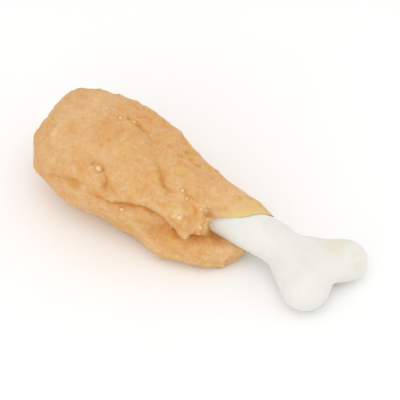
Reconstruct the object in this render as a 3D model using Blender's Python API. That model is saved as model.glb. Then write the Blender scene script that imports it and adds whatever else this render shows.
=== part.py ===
"""Drumstick-shaped chew lying on its side: dried chicken meat wound round one end of a moulded bone.

Units are metres and +Z is up. +X runs from the blunt end of the meat to the knuckles of the bone, and
+Y across. The origin is the middle of the footprint, on the surface that the chew lies on. Angles round
the meat and the bone are in degrees, with 0 at +Y and 90 at +Z.
"""

import math

import bmesh
import bpy
import numpy as np
from mathutils import Matrix, Vector, noise

MM = 0.001

# --- The bone: a tapered shaft that falls to the table, and two knuckles with a web between them -----

BONE_ROOT = Vector((-12.0, 0.4, 14.4)) * MM
BONE_TIP = Vector((46.3, -2.8, 7.0)) * MM
ROOT_RADIUS = 7.0 * MM
WAIST_X = 29.0 * MM
WAIST_RADIUS = 6.4 * MM
NEAR_BRANCH_X = 31.0 * MM
NEAR_BRANCH_RADIUS = 5.9 * MM
NEAR_KNUCKLE = Vector((43.7, -11.1, 7.45)) * MM
NEAR_KNUCKLE_RADIUS = 7.65 * MM
FAR_BRANCH_X = 34.0 * MM
FAR_BRANCH_RADIUS = 5.4 * MM
FAR_KNUCKLE = Vector((49.8, 4.3, 6.3)) * MM
FAR_KNUCKLE_RADIUS = 6.6 * MM
WEB_RADIUS = 6.2 * MM
WEB_PULL = 0.2
SMOOTHING_LOSS = 0.15 * MM
SOCKET_GAP = 0.3 * MM

# --- The wad of meat: x, middle y, half width, middle z and half height, in mm -----------------------

WAD_STATIONS = (
    (-53.0, 1.6, 15.9, 15.2, 13.6),
    (-44.0, 1.1, 17.9, 15.3, 15.4),
    (-34.0, 0.0, 19.5, 15.4, 15.8),
    (-24.0, 0.0, 19.0, 15.3, 15.7),
    (-14.0, -1.6, 17.2, 14.9, 14.9),
    (-5.0, -3.0, 14.4, 14.5, 13.1),
    (4.0, -1.9, 10.8, 13.5, 11.0),
    (12.0, -1.4, 8.8, 12.2, 9.0),
    (22.0, -1.2, 8.2, 10.6, 8.4),
    (30.0, -1.7, 7.9, 9.4, 8.1),
)
RING_POWER = 2.15
BLUNT_END = -57.5 * MM
BLUNT_DEPTH = 18.0 * MM
BLUNT_POWER = 2.4

# Flattened faces of the blunt end: outward direction, and distance from the origin in mm.
PRESSED_FACES = (
    ((-0.838, -0.539, 0.092), 51.8),
    ((-0.851, 0.063, 0.521), 57.8),
    ((-0.899, -0.107, 0.425), 57.7),
    ((-0.351, -0.853, -0.386), 25.9),
)
PRESSED_CORNER = 1.0 * MM

# How far the meat reaches along the bone: angle, and x in mm. The two ends of the list meet in a notch.
SLEEVE_REACH = (
    (-160.0, 9.6),
    (-70.0, 17.0),
    (10.0, 23.8),
    (34.0, 25.2),
    (63.0, 22.8),
    (89.0, 20.6),
    (109.0, 18.0),
    (138.0, 12.1),
    (149.0, 10.2),
    (200.0, 9.6),
)
LIP_RADIUS = 8.3 * MM
LIP_INNER_RADIUS = 5.0 * MM
NOTCH_LIP_SHARE = 0.04
TIP_LIP_SHARE = 0.12

# The loose flap under the bone, with the same columns as the wad.
FLAP_STATIONS = (
    (-26.0, -8.0, 7.4, 9.0, 7.2),
    (-12.0, -10.9, 7.0, 8.0, 7.2),
    (-4.0, -13.1, 6.7, 7.2, 6.8),
    (4.0, -12.6, 5.6, 6.0, 5.8),
    (11.5, -10.7, 5.6, 4.9, 4.6),
    (17.0, -7.6, 3.6, 4.1, 3.6),
    (20.5, -5.9, 1.2, 4.4, 1.6),
)

# Folds of the wound layers. A line runs through points of x in mm, angle and strength. Its left side
# rises, the rise fades away from the line, and a groove lies along its right side. Sizes are in mm.
FOLDS = (
    {
        "line": (
            (-29.0, 168.0, 0.0),
            (-20.0, 165.0, 0.5),
            (-15.5, 161.0, 0.8),
            (-10.0, 154.0, 1.0),
            (-5.0, 156.0, 1.1),
            (-2.4, 166.0, 1.25),
            (-0.5, 180.0, 1.3),
            (4.0, 188.0, 1.2),
            (7.4, 180.0, 0.6),
            (9.4, 188.0, 0.2),
        ),
        "rise": 1.1,
        "fade": 7.0,
        "groove": 1.4,
        "width": 2.0,
    },
    {
        "line": (
            (-31.0, 68.0, 0.0),
            (-25.0, 73.0, 0.7),
            (-19.0, 80.0, 1.0),
            (-13.0, 86.0, 0.6),
            (-9.0, 102.0, 0.9),
            (-6.0, 117.0, 1.2),
            (-3.6, 123.0, 0.8),
            (1.0, 120.0, 0.0),
        ),
        "rise": -0.6,
        "fade": 6.0,
        "groove": 0.7,
        "width": 1.5,
    },
    {
        "line": ((-43.0, 171.0, 0.0), (-36.0, 166.0, 1.0), (-30.0, 161.0, 1.0), (-24.0, 163.0, 0.0)),
        "rise": 0.5,
        "fade": 4.0,
        "groove": 0.9,
        "width": 1.6,
    },
    {
        "line": ((-25.5, 134.0, 0.0), (-22.0, 148.0, 1.0), (-20.4, 157.0, 0.8), (-19.5, 163.0, 0.0)),
        "rise": 0.4,
        "fade": 4.0,
        "groove": 0.9,
        "width": 1.4,
    },
    {
        "line": (
            (-44.0, 330.0, 0.0),
            (-34.0, 345.0, 0.9),
            (-20.0, 357.0, 0.7),
            (-10.0, 345.0, 1.0),
            (2.0, 326.0, 0.7),
            (12.0, 318.0, 0.0),
        ),
        "rise": 0.8,
        "fade": 6.0,
        "groove": 0.9,
        "width": 1.8,
    },
)
UNROLL_RADIUS = 17.0 * MM

# Broad swells and dips: x in mm, angle, height in mm, reach in mm.
SWELLS = (
    (-8.0, 42.0, 0.9, 4.5),
    (-32.0, 57.0, 0.9, 4.0),
    (-20.0, 110.0, 0.7, 9.0),
    (-30.0, 250.0, 0.8, 9.0),
    (-18.0, 320.0, 1.0, 8.0),
    (-38.0, 350.0, -0.8, 7.0),
    (-10.0, 350.0, 0.9, 6.0),
    (1.5, 155.0, 1.2, 2.0),
    (6.5, 134.0, 0.8, 1.8),
    (0.5, 118.0, 0.6, 1.8),
)
UNEVENNESS = 0.35 * MM
UNEVEN_SIZE = 6.0 * MM

# The hollow under the upper layer's edge.
HOLLOW = Vector((-4.0, -17.6, 12.4)) * MM
HOLLOW_DIRECTION = Vector((-0.1, 0.7, -0.7))
HOLLOW_DEPTH = 2.4 * MM
HOLLOW_REACH = 4.2 * MM

# Torn lobes where the upper layer ends over the flap: x in mm, angle, and length, width and thickness.
LOBES = (
    (5.6, 158.0, 5.2, 4.8, 1.5),
    (3.4, 171.0, 2.6, 4.7, 1.7),
    (8.2, 169.0, 2.3, 3.0, 1.4),
)
LOBE_SINK = 0.6 * MM
LOBE_TILT = 18.0

# --- Fineness of the meshes --------------------------------------------------------------------------

WAD_RINGS = 110
WAD_POINTS = 144
FLAP_RINGS = 40
FLAP_POINTS = 48
BALL_SEGMENTS = 32
MEAT_VOXEL = 0.5 * MM
MEAT_ROUNDS = 8
MEAT_TRIANGLES = 8000
BONE_VOXEL = 0.6 * MM
BONE_ROUNDS = 36
BONE_TRIANGLES = 2400

# Linear colours.
MEAT_COLOUR = (0.752, 0.445, 0.216)
BONE_COLOUR = (0.880, 0.880, 0.831)


# --- Small helpers -----------------------------------------------------------------------------------


def clear_scene():
    for obj in list(bpy.data.objects):
        bpy.data.objects.remove(obj, do_unlink=True)


def smooth_curve(rows):
    """A function of x through rows of x and one or more values, without corners."""
    table = np.array(rows, float)
    xs, values = table[:, 0], table[:, 1:]
    slopes = np.gradient(values, xs, axis=0)

    def at(x):
        x = min(max(x, xs[0]), xs[-1])
        i = int(np.clip(np.searchsorted(xs, x, side="right") - 1, 0, len(xs) - 2))
        span = xs[i + 1] - xs[i]
        t = (x - xs[i]) / span
        start = (1 + 2 * t) * (1 - t) ** 2 * values[i] + t * (1 - t) ** 2 * span * slopes[i]
        end = t * t * (3 - 2 * t) * values[i + 1] + t * t * (t - 1) * span * slopes[i + 1]
        return start + end

    return at


def in_metres(rows):
    return [[value * MM for value in row] for row in rows]


def smooth_step(t):
    t = min(max(t, 0.0), 1.0)
    return t * t * (3 - 2 * t)


def radial(angle):
    """The direction straight out from the x axis at an angle in radians."""
    return Vector((0, math.cos(angle), math.sin(angle)))


def new_object(name, bm):
    mesh = bpy.data.meshes.new(name)
    bm.to_mesh(mesh)
    bm.free()
    obj = bpy.data.objects.new(name, mesh)
    bpy.context.scene.collection.objects.link(obj)
    return obj


def loft(bm, rings):
    """Joins rings of points into one closed skin, with a fan over each end."""
    made = [[bm.verts.new(point) for point in ring] for ring in rings]
    count = len(made[0])
    faces = []
    for a, b in zip(made, made[1:]):
        for i in range(count):
            j = (i + 1) % count
            faces.append(bm.faces.new((a[i], a[j], b[j], b[i])))
    for ring in (made[0], made[-1]):
        pole = bm.verts.new(sum((vert.co for vert in ring), Vector()) / count)
        for i in range(count):
            faces.append(bm.faces.new((ring[i], ring[(i + 1) % count], pole)))
    bmesh.ops.recalc_face_normals(bm, faces=faces)


def ball_hull(bm, *balls):
    """The convex hull of some balls, each a centre and a radius."""
    made = []
    for centre, radius in balls:
        ball = bmesh.ops.create_uvsphere(
            bm,
            u_segments=BALL_SEGMENTS,
            v_segments=BALL_SEGMENTS // 2,
            radius=radius,
            matrix=Matrix.Translation(centre),
        )
        made += ball["verts"]
    edges = {edge for vert in made for edge in vert.link_edges}
    bmesh.ops.delete(bm, geom=list(edges), context="EDGES_FACES")
    hull = bmesh.ops.convex_hull(bm, input=made)
    spare = set(hull["geom_interior"]) | set(hull["geom_unused"])
    inner = [item for item in spare if isinstance(item, bmesh.types.BMVert)]
    bmesh.ops.delete(bm, geom=inner, context="VERTS")


def add_modifier(obj, kind, **settings):
    modifier = obj.modifiers.new(kind.title(), kind)
    for key, value in settings.items():
        setattr(modifier, key, value)


def bake(obj):
    """Replaces an object's mesh by what its modifiers make of it."""
    graph = bpy.context.evaluated_depsgraph_get()
    mesh = bpy.data.meshes.new_from_object(obj.evaluated_get(graph))
    obj.modifiers.clear()
    obj.data = mesh


def fuse(obj, voxel, rounds):
    """Makes the shapes in a mesh one skin and rounds the joins."""
    add_modifier(obj, "REMESH", mode="VOXEL", voxel_size=voxel)
    add_modifier(obj, "SMOOTH", factor=0.5, iterations=rounds)
    bake(obj)


def thin(obj, triangles):
    """Leaves about a number of triangles, most of them where the shape bends."""
    obj.data.calc_loop_triangles()
    share = triangles / len(obj.data.loop_triangles)
    add_modifier(obj, "DECIMATE", ratio=min(1.0, share))
    bake(obj)


def cut(obj, cutter):
    add_modifier(obj, "BOOLEAN", operation="DIFFERENCE", object=cutter, solver="EXACT")
    bake(obj)


def material(name, colour, roughness):
    made = bpy.data.materials.new(name)
    made.use_nodes = True
    shader = made.node_tree.nodes["Principled BSDF"]
    shader.inputs["Base Color"].default_value = (*colour, 1)
    shader.inputs["Roughness"].default_value = roughness
    shader.inputs["Metallic"].default_value = 0.0
    return made


# --- The bone ----------------------------------------------------------------------------------------


def bone_axis(x):
    """The point of the bone's axis at x."""
    return BONE_ROOT.lerp(BONE_TIP, (x - BONE_ROOT.x) / (BONE_TIP.x - BONE_ROOT.x))


def shaft_hull(bm, extra):
    root = (bone_axis(BONE_ROOT.x), ROOT_RADIUS + extra)
    waist = (bone_axis(WAIST_X), WAIST_RADIUS + extra)
    ball_hull(bm, root, waist)


def make_bone():
    """The shaft and a branch to each knuckle, whose hulls share the web between them."""
    middle = NEAR_KNUCKLE.lerp(FAR_KNUCKLE, 0.5)
    web = (middle.lerp(bone_axis(FAR_BRANCH_X), WEB_PULL), WEB_RADIUS)
    near_start = (bone_axis(NEAR_BRANCH_X), NEAR_BRANCH_RADIUS)
    far_start = (bone_axis(FAR_BRANCH_X), FAR_BRANCH_RADIUS)
    bm = bmesh.new()
    shaft_hull(bm, SMOOTHING_LOSS)
    ball_hull(bm, near_start, (NEAR_KNUCKLE, NEAR_KNUCKLE_RADIUS), web)
    ball_hull(bm, far_start, (FAR_KNUCKLE, FAR_KNUCKLE_RADIUS), web)
    bone = new_object("bone", bm)
    fuse(bone, BONE_VOXEL, BONE_ROUNDS)
    bone.data.materials.append(material("pressed_bone", BONE_COLOUR, 0.45))
    return bone


# --- The meat ----------------------------------------------------------------------------------------


def ring_offset(angle, half_width, half_height):
    """A point of a slightly squared ellipse, from its middle."""
    across, up = math.cos(angle), math.sin(angle)
    power = 2 / RING_POWER
    y = math.copysign(abs(across) ** power, across) * half_width
    z = math.copysign(abs(up) ** power, up) * half_height
    return Vector((0, y, z))


class Fold:
    """A fold line on the unrolled surface, where across is the angle times the unrolling radius."""

    def __init__(self, line, rise, fade, groove, width):
        rows = [(k, x * MM, self.across(math.radians(a)), s) for k, (x, a, s) in enumerate(line)]
        route = smooth_curve(rows)
        fine = np.array([route(k) for k in np.linspace(0, len(line) - 1, 12 * len(line))])
        self.starts, self.steps = fine[:-1, :2], np.diff(fine[:, :2], axis=0)
        self.strengths = fine[:, 2]
        self.rise, self.fade = rise * MM, fade * MM
        self.groove, self.width = groove * MM, width * MM

    @staticmethod
    def across(angle):
        return angle * UNROLL_RADIUS

    def height(self, x, angle):
        """What the fold adds to the surface at a point."""
        away = np.array((x, self.across(angle))) - self.starts
        along = np.clip((away * self.steps).sum(1) / (self.steps**2).sum(1), 0, 1)
        gap = away - self.steps * along[:, None]
        i = int((gap**2).sum(1).argmin())
        strength = self.strengths[i] + (self.strengths[i + 1] - self.strengths[i]) * along[i]
        turn = self.steps[i, 1] * gap[i, 0] - self.steps[i, 0] * gap[i, 1]
        distance = math.copysign(math.hypot(*gap[i]), turn)
        step_up = smooth_step(distance / self.width + 0.4)
        raised = self.rise * step_up * math.exp(-max(distance, 0) / self.fade)
        sunk = self.groove * math.exp(-((distance / self.width + 0.4) ** 2))
        return strength * (raised - sunk)


def swell_height(x, angle):
    total = 0.0
    for at, degrees, height, reach in SWELLS:
        turn = (math.degrees(angle) - degrees + 180) % 360 - 180
        distance = math.hypot(x - at * MM, math.radians(turn) * UNROLL_RADIUS)
        total += height * MM * math.exp(-((distance / (reach * MM)) ** 2))
    return total


def uneven(point):
    return UNEVENNESS * noise.noise(point / UNEVEN_SIZE)


def press(point):
    """Pushes a point back behind the flattened faces, with a rounded corner along their edges."""
    for direction, distance in PRESSED_FACES:
        outward = Vector(direction)
        over = point.dot(outward) - distance * MM
        point = point - outward * (over + math.hypot(over, PRESSED_CORNER)) / 2
    return point


def hollow(point):
    """Presses a point inwards where it is near the hollow."""
    distance = (point - HOLLOW).length / HOLLOW_REACH
    return point + HOLLOW_DIRECTION * HOLLOW_DEPTH * math.exp(-(distance**2))


def wad_surface():
    """A function of x and angle that gives the point of the wad's skin, with its folds and swells."""
    stations = smooth_curve(in_metres(WAD_STATIONS))
    folds = [Fold(**fold) for fold in FOLDS]

    def at(x, angle):
        inward = max(0.0, (BLUNT_END + BLUNT_DEPTH - x) / BLUNT_DEPTH)
        shrink = max(0.0, 1 - inward**BLUNT_POWER) ** (1 / BLUNT_POWER)
        y, half_width, z, half_height = stations(x)
        point = Vector((x, y, z)) + ring_offset(angle, half_width, half_height) * shrink
        turned = angle % (2 * math.pi)
        lift = swell_height(x, turned) + sum(fold.height(x, turned) for fold in folds) + uneven(point)
        return hollow(press(point + radial(angle) * lift * shrink))

    return at


def wad_shape(bm, surface):
    """The wound wad and its sleeve round the bone, whose end runs back to a notch on the near side."""
    reach = smooth_curve([(math.radians(angle), x * MM) for angle, x in SLEEVE_REACH])
    notch_angle = math.radians(SLEEVE_REACH[-1][0])
    ends = [x * MM for angle, x in SLEEVE_REACH]
    angles = [notch_angle - 2 * math.pi * i / WAD_POINTS for i in range(WAD_POINTS)]
    rings = []
    for k in range(WAD_RINGS):
        t = (k + 1) / WAD_RINGS
        ring = []
        for angle in angles:
            end = float(reach(angle)[0])
            x = BLUNT_END + t * t * (3 - t) / 2 * (end - BLUNT_END)
            tipward = (end - min(ends)) / (max(ends) - min(ends))
            share = NOTCH_LIP_SHARE + (TIP_LIP_SHARE - NOTCH_LIP_SHARE) * tipward
            lip = bone_axis(x) + radial(angle) * LIP_RADIUS
            ring.append(surface(x, angle).lerp(lip, smooth_step((t - 1 + share) / share)))
        rings.append(ring)
    tuck = LIP_INNER_RADIUS - LIP_RADIUS
    rings.append([point + radial(angle) * tuck for point, angle in zip(rings[-1], angles)])
    loft(bm, rings)


def flap_shape(bm):
    """The loose end of the lower layer, a tongue that lies under the bone."""
    stations = smooth_curve(in_metres(FLAP_STATIONS))
    first, last = FLAP_STATIONS[0][0] * MM, FLAP_STATIONS[-1][0] * MM
    rings = []
    for k in range(FLAP_RINGS):
        x = first + (last - first) * k / (FLAP_RINGS - 1)
        y, half_width, z, half_height = stations(x)
        ring = []
        for i in range(FLAP_POINTS):
            offset = ring_offset(2 * math.pi * i / FLAP_POINTS, half_width, half_height)
            point = Vector((x, y, z)) + offset
            ring.append(hollow(point + offset.normalized() * uneven(point)))
        rings.append(ring)
    loft(bm, rings)


def lobe_shapes(bm, surface):
    for x, degrees, length, width, thickness in LOBES:
        angle = math.radians(degrees)
        place = Matrix.Translation(surface(x * MM, angle) - radial(angle) * LOBE_SINK)
        turn = Matrix.Rotation(angle - math.radians(LOBE_TILT), 4, "X")
        size = Matrix.Diagonal((length * MM, thickness * MM, width * MM, 1.0))
        bmesh.ops.create_icosphere(bm, subdivisions=3, radius=1.0, matrix=place @ turn @ size)


def make_meat():
    surface = wad_surface()
    bm = bmesh.new()
    wad_shape(bm, surface)
    flap_shape(bm)
    lobe_shapes(bm, surface)
    meat = new_object("meat", bm)
    fuse(meat, MEAT_VOXEL, MEAT_ROUNDS)
    meat.data.materials.append(material("dried_meat", MEAT_COLOUR, 0.7))
    return meat


# --- Fitting the two together ------------------------------------------------------------------------


def make_socket_cutter():
    """The bone's shaft, larger by the gap that it keeps in the meat."""
    bm = bmesh.new()
    shaft_hull(bm, SOCKET_GAP)
    return new_object("socket_cutter", bm)


def make_floor_cutter():
    """A block below the table, which leaves the flat spots that the chew rests on."""
    side = 0.2
    bm = bmesh.new()
    bmesh.ops.create_cube(bm, size=side, matrix=Matrix.Translation((0, 0, -side / 2)))
    return new_object("floor_cutter", bm)


def centre_footprint(objects):
    """Moves the objects so that the origin is the middle of their footprint."""
    points = np.array([vert.co for obj in objects for vert in obj.data.vertices])
    middle = (points.min(0) + points.max(0)) / 2
    shift = Vector((-middle[0], -middle[1], 0))
    for obj in objects:
        obj.data.transform(Matrix.Translation(shift))


def main():
    clear_scene()
    bone = make_bone()
    meat = make_meat()
    socket = make_socket_cutter()
    floor = make_floor_cutter()
    cut(meat, socket)
    thin(meat, MEAT_TRIANGLES)
    thin(bone, BONE_TRIANGLES)
    cut(meat, floor)
    cut(bone, floor)
    for cutter in (socket, floor):
        bpy.data.objects.remove(cutter, do_unlink=True)
    centre_footprint((bone, meat))


main()
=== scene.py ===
"""Looks of the drumstick-shaped chew: dried meat wound round one end of a moulded bone.

Lengths are metres, and names that end in _MM hold millimetres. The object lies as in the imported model:
+X from the blunt end of the meat to the knuckles, +Z up. A place on the meat is given by x in mm and an
angle in degrees round the wad's middle line, with 0 at +Y and 90 at +Z.
"""

import math

import bmesh
import bpy
import numpy as np
from bpy.props import FloatProperty, FloatVectorProperty, IntProperty, PointerProperty
from mathutils import Matrix, Vector, noise
from mathutils.bvhtree import BVHTree


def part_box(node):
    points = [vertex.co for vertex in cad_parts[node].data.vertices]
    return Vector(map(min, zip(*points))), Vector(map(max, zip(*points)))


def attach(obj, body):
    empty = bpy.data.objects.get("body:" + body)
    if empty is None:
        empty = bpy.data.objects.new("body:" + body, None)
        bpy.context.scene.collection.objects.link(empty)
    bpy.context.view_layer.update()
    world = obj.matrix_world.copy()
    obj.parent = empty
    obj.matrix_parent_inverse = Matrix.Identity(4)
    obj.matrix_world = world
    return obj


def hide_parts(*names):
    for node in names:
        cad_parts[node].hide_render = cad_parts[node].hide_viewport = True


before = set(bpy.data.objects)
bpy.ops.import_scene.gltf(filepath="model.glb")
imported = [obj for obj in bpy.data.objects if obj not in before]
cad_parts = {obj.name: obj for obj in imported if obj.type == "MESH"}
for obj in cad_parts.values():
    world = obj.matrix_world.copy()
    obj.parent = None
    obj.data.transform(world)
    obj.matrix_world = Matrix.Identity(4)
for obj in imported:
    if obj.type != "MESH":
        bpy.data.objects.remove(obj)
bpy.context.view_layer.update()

bl_info = {
    "name": "Drumstick chew",
    "version": (1, 0, 0),
    "blender": (4, 5, 0),
    "location": "View3D > Sidebar > Chew",
    "description": "Makes the meat, the bone and the studio of a drumstick-shaped chew",
    "category": "Object",
}

MM = 0.001

# --- Where things are on the chew -------------------------------------------------------------------

# The wad's middle line, and the bone's axis with its radius at either end.
WAD_MIDDLE_Y_MM = -1.0
WAD_MIDDLE_Z_MM = 14.0
BONE_ROOT = Vector((-11.55, 0.51, 14.4)) * MM
BONE_TIP = Vector((46.75, -2.69, 7.0)) * MM
BONE_ROOT_RADIUS = 7.0 * MM
BONE_TIP_RADIUS = 6.15 * MM
SOCKET_GAP = 0.3 * MM

# Lines in the meat, each through points of x, angle and strength. Depth and width are the groove's, rise
# is how far its left side stands up as one goes along it, and fade how far that reaches, all in mm. The
# last two say how dark the line is, partly brown meat and partly painted shade in the groove, and how
# orange the meat beside it, which is partly painted shade as well. Places that the angle doesn't reach,
# in the hollow and on the flap beside the bone, are given here and below by x, y and z instead.
LINES = {
    "upper_layer_edge": {
        "points": (
            (-19.5, 165, 0.3), (-18.3, 164, 0.6), (-15.9, 161.5, 1.0), (-12.7, 158, 1.0),
            (-9.4, 156, 0.8), (-6.5, 158, 0.8), (-4.0, 161, 0.9), (-2.0, 165, 1.0), (-0.6, 174, 1.1),
            (0.5, 183, 1.1), (3.4, 188, 0.8), (5.2, 192, 0.2),
        ),
        "depth": 0.45, "width": 0.7, "rise": 0.35, "fade": 3.0, "shade_and_brown": 0.42, "warm": 0.75,
    },
    "lobe_right_side": {
        "points": ((5.9, 193, 0.2), (6.8, 188, 0.8), (7.8, 180, 1.0), (8.3, 171, 0.7), (7.9, 165, 0.2)),
        "depth": 0.25, "width": 0.5, "rise": 0.05, "fade": 1.2, "shade_and_brown": 0.2, "warm": 1.0,
    },
    "lobe_streak": {
        "points": ((4.6, 132, 0.2), (5.4, 137, 0.7), (6.4, 142, 0.9), (6.9, 149, 0.8), (8.0, 156, 0.3)),
        "depth": 0.2, "width": 0.5, "rise": -0.05, "fade": 1.0, "shade_and_brown": 0.12, "warm": 1.0,
    },
    "notch_edge": {
        "points": (
            (7.6, 142, 0.3), (9.3, 144, 1.0), (10.2, 150, 0.8), (9.9, 164, 0.7), (9.6, 180, 0.7),
            (9.4, 196, 0.6),
        ),
        "depth": 0.15, "width": 0.45, "rise": 0.0, "fade": 1.0, "shade_and_brown": 0.45, "warm": 0.8,
    },
    "flap_beside_bone": {
        "points": (
            (9.4, -8.1, 11.8, 0.5), (10.4, -7.6, 10.3, 1.1), (12.0, -7.6, 9.3, 1.1),
            (14.0, -7.4, 8.6, 0.6), (15.9, -7.2, 8.1, 0.4), (18.3, -6.8, 7.2, 0.2),
        ),
        "depth": 0.08, "width": 0.6, "rise": -0.05, "fade": 2.0, "shade_and_brown": 0.15, "warm": 0.6,
    },
    "left_stroke": {
        "points": (
            (-42.0, 166, 0.1), (-40.5, 163, 0.4), (-36.9, 158, 0.7), (-34.4, 155.5, 0.9),
            (-31.7, 154, 1.1), (-29.0, 154, 0.6), (-26.5, 153, 0.1),
        ),
        "depth": 0.3, "width": 1.0, "rise": 0.2, "fade": 2.5, "shade_and_brown": 0.32, "warm": 0.65,
    },
    "middle_stroke": {
        "points": (
            (-23.1, 133, 0.1), (-22.1, 137, 0.5), (-21.3, 141, 0.9), (-20.9, 145, 1.1),
            (-21.2, 149, 0.8), (-21.3, 154, 0.2),
        ),
        "depth": 0.35, "width": 0.8, "rise": 0.15, "fade": 2.0, "shade_and_brown": 0.34, "warm": 0.65,
    },
    "middle_tail": {
        "points": ((-20.6, 147, 0.4), (-19.3, 147, 0.8), (-17.5, 149, 0.7), (-16.0, 150, 0.1)),
        "depth": 0.2, "width": 0.7, "rise": 0.1, "fade": 1.5, "shade_and_brown": 0.25, "warm": 0.7,
    },
    "faint_edge": {
        "points": (
            (-27.0, 160, 0.1), (-25.1, 161, 0.8), (-23.3, 163, 1.0), (-21.2, 163, 0.8),
            (-19.7, 165, 0.7), (-18.3, 165, 0.2),
        ),
        "depth": 0.16, "width": 0.8, "rise": 0.1, "fade": 2.0, "shade_and_brown": 0.16, "warm": 0.5,
    },
    "top_crease": {
        "points": (
            (-23.4, 67, 0.2), (-21.5, 70, 1.2), (-20.0, 72, 0.8), (-17.5, 75, 0.5), (-15.5, 80, 0.35),
            (-14.1, 85, 0.2), (-12.8, 90, 0.05),
        ),
        "depth": 0.3, "width": 1.0, "rise": -0.1, "fade": 2.5, "shade_and_brown": 0.38, "warm": 0.6,
    },
    "top_streak": {
        "points": ((-24.6, 63, 0.2), (-23.9, 60, 0.8), (-22.6, 55, 0.5), (-22.0, 52, 0.1)),
        "depth": 0.2, "width": 0.6, "rise": 0.0, "fade": 1.0, "shade_and_brown": 0.3, "warm": 0.6,
    },
    "ridge_crease": {
        "points": (
            (-11.4, 97, 0.15), (-9.3, 105, 0.35), (-7.7, 111, 0.9), (-6.2, 118, 0.9), (-4.9, 125, 1.1),
            (-3.4, 127.5, 0.7), (-1.4, 127, 0.45), (0.2, 125, 0.2),
        ),
        "depth": 0.4, "width": 0.6, "rise": -0.15, "fade": 2.5, "shade_and_brown": 0.36, "warm": 0.55,
    },
    "nub_tear": {
        "points": ((0.2, 119, 0.1), (2.2, 124, 0.8), (4.0, 127, 0.9), (6.0, 129, 0.4)),
        "depth": 0.25, "width": 0.5, "rise": 0.1, "fade": 1.2, "shade_and_brown": 0.3, "warm": 0.6,
    },
    "back_seam": {
        "points": (
            (-44, 331, 0.1), (-34, 345, 0.9), (-20, 357, 1.0), (-10, 346, 1.0), (2, 327, 0.8),
            (12, 318, 0.1),
        ),
        "depth": 0.45, "width": 0.8, "rise": 0.25, "fade": 3.0, "shade_and_brown": 0.5, "warm": 0.9,
    },
    "back_stroke": {
        "points": ((-38, 22, 0.1), (-30, 14, 0.9), (-22, 16, 1.0), (-16, 24, 0.2)),
        "depth": 0.35, "width": 0.8, "rise": 0.1, "fade": 2.0, "shade_and_brown": 0.4, "warm": 0.8,
    },
    "end_coil": {
        "points": (
            (-54.6, 60, 0.1), (-55.0, 110, 0.8), (-55.0, 165, 0.9), (-54.5, 215, 0.7),
            (-54.0, 260, 0.1),
        ),
        "depth": 0.25, "width": 0.8, "rise": 0.1, "fade": 1.5, "shade_and_brown": 0.2, "warm": 0.5,
    },
}

# Dents and bumps: x, angle, height and reach in mm. Dents with a reach under SMALL_DENT_MM are painted
# darker than the skin round them, as painted shade in the dent.
SMALL_DENT_MM = 1.5
DENTS_AND_BUMPS = (
    (-27.4, 133, -0.4, 0.8), (-23.6, 135, -0.3, 0.8), (-25.6, 69, -0.35, 0.8), (-33.8, 139, -0.15, 0.8),
    (-45.4, 110, -0.15, 0.9), (-19.7, 165, -0.25, 0.8), (-5.3, 76, -0.25, 0.8), (-5.0, 64, -0.25, 0.8),
    (-2.5, 72, -0.2, 0.8), (0.3, 72, -0.25, 0.8), (-40.8, 79, -0.15, 1.4), (-8.8, 44, -0.2, 1.2),
    (9.4, 144, -0.3, 0.9), (2.3, 150, 0.6, 1.3), (3.2, 159, 0.3, 1.2), (4.4, 172, 0.25, 1.2),
    (5.3, 185, 0.8, 1.3), (6.4, 188, 0.7, 1.0), (9.4, 165, 0.6, 1.2), (8.9, 178, 0.4, 1.0),
    (8.2, 143, 0.4, 1.1), (-43.7, 119, 0.2, 1.5), (0.8, 162, -0.2, 0.8), (-30.0, 112, 0.3, 3.5),
    (-14.0, 118, 0.25, 3.0), (-40.0, 140, 0.25, 3.5), (-12.0, 60, 0.3, 3.0), (-33.0, 190, 0.3, 3.5),
    (-28.0, 20, 0.3, 3.5), (-12.0, 15, -0.25, 2.5), (4.0, 50, 0.25, 2.5), (-44.0, 60, -0.3, 2.5),
    (-53.3, 165, -0.45, 3.5), (-54.6, 128, 0.4, 2.0), (-50.4, 193, 1.1, 2.6), (-44.0, 204, -0.3, 2.0),
    (-31.5, 203, -0.2, 4.0), (-26.0, 203, 0.1, 3.0), (-19.8, 211, 0.8, 3.2), (-8.8, 213, -0.3, 2.5),
    (-2.4, 214, 0.8, 1.8), (3.0, 218, -0.35, 1.8), (10.0, 216, -0.4, 2.4), (15.9, 229, 0.8, 1.5),
    (20.4, 242, -0.7, 1.5), (-55.5, 45, -0.9, 3.5), (-51.5, 74, -0.8, 3.0), (-48.8, 41, 0.7, 2.4),
    (-42.5, 30, 0.4, 1.6), (-35.5, 33, 0.65, 1.5), (-29.3, 34, 0.65, 1.7), (-21.0, 24, -0.5, 2.2),
    (-17.5, 30, -0.3, 1.6), (-12.8, 27, 0.6, 2.2), (-4.5, 33, 0.35, 1.4), (3.8, 31, -0.7, 2.6),
    (8.4, 29, -0.4, 2.0),
)
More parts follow.
